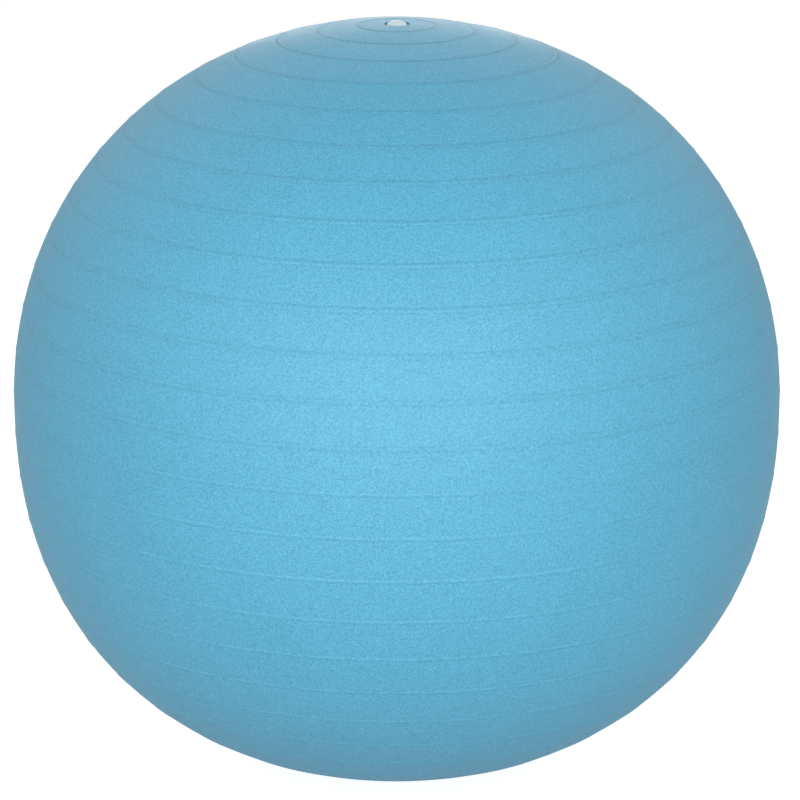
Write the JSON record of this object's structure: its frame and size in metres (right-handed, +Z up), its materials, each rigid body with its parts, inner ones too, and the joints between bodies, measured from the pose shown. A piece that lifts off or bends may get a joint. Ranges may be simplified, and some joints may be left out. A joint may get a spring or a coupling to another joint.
{
  "type": "exercise ball",
  "caption": "Inflated ribbed exercise ball with a push-in valve plug that pulls out of its seat at the top.",
  "frame": {"origin": "centre of the flat patch that the ball rests on, on the valve axis", "axes": "+Z up along the valve axis, towards the plug; X and Y lie in the floor and are equal by symmetry"},
  "size_m": [0.6506, 0.6506, 0.6406],
  "materials": {
    "ball_skin": "satin grained soft PVC, light blue",
    "valve_bush": "satin soft PVC, light blue",
    "plug_white": "semi-matt moulded polyethylene, white"
  },
  "bodies": {
    "ball": {"ball_shell": "ball_skin", "valve_seat": "valve_bush"},
    "plug": {"valve_plug": "plug_white"}
  },
  "joints": [
    {"name": "plug_pull", "type": "slide", "parent": "ball", "child": "plug", "axis": [0, 0, 1], "range_m": [0, 0.045]}
  ]
}
